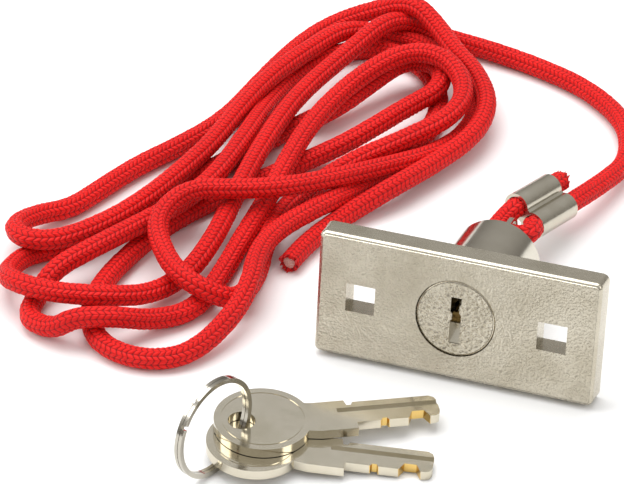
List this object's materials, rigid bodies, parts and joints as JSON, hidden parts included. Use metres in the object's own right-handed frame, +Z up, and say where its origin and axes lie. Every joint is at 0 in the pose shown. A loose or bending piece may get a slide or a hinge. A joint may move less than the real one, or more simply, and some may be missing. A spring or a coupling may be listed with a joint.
{
  "type": "keyed pull-out release lock",
  "caption": "Nickel face plate with two square holes, a keyed core in a rear sleeve, a red pull cord crimped in a double ferrule to its tail, and keys on a split ring.",
  "frame": {"origin": "on the floor, under the middle of the box around the lock, its keys and ring, without the cord and ferrule", "axes": "+X to the right along the plate, +Y from the plate face back along the sleeve, +Z up from the floor the pieces lie on"},
  "size_m": [0.1463, 0.1947, 0.0302],
  "materials": {
    "cast_nickel": "nickel plated zinc casting, fine pebbled grain",
    "cast_nickel_coarse": "nickel plated zinc casting, coarse pebbled face",
    "polished_nickel": "nickel plated, smooth",
    "tail_nickel": "nickel plated",
    "ferrule_nickel": "satin nickel plated tube",
    "key_nickel": "nickel plated brass, polished; cuts bare brass",
    "ring_steel": "nickel plated spring steel",
    "brass": "stamped brass",
    "red_cord": "knitted polyester cord"
  },
  "bodies": {
    "housing": {"escutcheon_plate": "cast_nickel", "guide_sleeve": "polished_nickel", "cord_run": "red_cord", "cord_hank": "red_cord"},
    "tail": {"tail_link": "tail_nickel"},
    "core": {"lock_core": "cast_nickel_coarse", "wafers": "brass"},
    "ferrule": {"ferrule": "ferrule_nickel", "cord_loop": "red_cord", "cord_stub": "red_cord"},
    "key_upper": {"key_upper": "key_nickel"},
    "key_lower": {"key_lower": "key_nickel"},
    "split_ring": {"split_ring": "ring_steel"}
  },
  "joints": [
    {"name": "core_pull_out", "type": "slide", "parent": "housing", "child": "tail", "axis": [0, -0.9833, 0.1822], "range_m": [0, 0.03]},
    {"name": "key_turn", "type": "hinge", "parent": "tail", "child": "core", "pos_m": [0.00546, 0.00685, 0.01581], "axis": [0, -0.9833, 0.1822], "range_deg": [-90, 0]},
    {"name": "ferrule_swing", "type": "hinge", "parent": "tail", "child": "ferrule", "pos_m": [0.00546, 0.04799, 0.01062], "axis": [-0.4175, 0.2696, 0.8678], "range_deg": [0, 14.43]},
    {"name": "keys_lift", "type": "slide", "parent": "housing", "child": "key_upper", "axis": [0, 0, 1], "range_m": [0, 0.05]},
    {"name": "keys_fan", "type": "hinge", "parent": "key_upper", "child": "key_lower", "pos_m": [-0.03106, -0.03445, 0.0024], "axis": [0.0518, 0.02, 0.9985], "range_deg": [-35, 30]},
    {"name": "ring_turn", "type": "hinge", "parent": "key_upper", "child": "split_ring", "pos_m": [-0.03304, -0.04075, 0.01175], "axis": [0.9397, -0.342, 0], "continuous": true}
  ],
  "couplings": [
    {"joint": "ferrule_swing", "follows": "core_pull_out", "rad_per_m": 8.3939}
  ]
}
